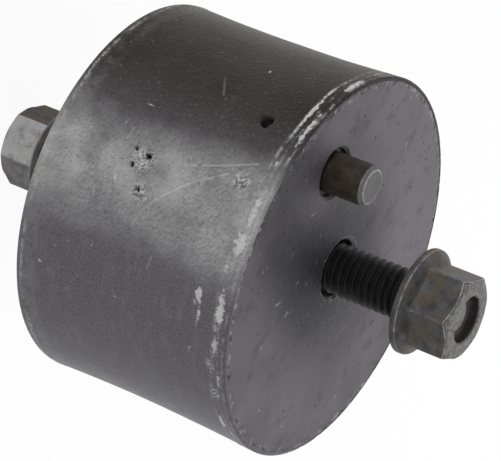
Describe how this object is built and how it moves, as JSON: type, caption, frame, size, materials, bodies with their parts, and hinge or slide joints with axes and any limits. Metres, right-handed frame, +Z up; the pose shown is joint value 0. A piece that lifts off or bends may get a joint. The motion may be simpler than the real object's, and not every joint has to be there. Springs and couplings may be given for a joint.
{
  "type": "engine mount",
  "caption": "Round rubber engine mount: a bonded drum between two steel plates, with a flange bolt out of each end and a locating pin beside one.",
  "frame": {"origin": "middle of the rear bolt's head, the lowest point of the part as it stands", "axes": "+Z up the drum's axis from the rear bolt to the front bolt; the locating pin stands on the -Y side of the front face"},
  "size_m": [0.075, 0.075, 0.1022],
  "materials": {
    "rubber": "matt, dusty black with scuffed rims",
    "plate": "thin dark grey coat",
    "nut": "plain",
    "pin": "dark, lighter at the tip",
    "bolt": "dark phosphate, worn at the edges"
  },
  "bodies": {
    "root": {"rubber_body": "rubber", "front_plate": "plate", "rear_plate": "plate", "front_weld_nut": "nut", "rear_weld_nut": "nut", "locating_pin": "pin", "front_bolt": "bolt", "rear_bolt": "bolt"}
  },
  "joints": []
}
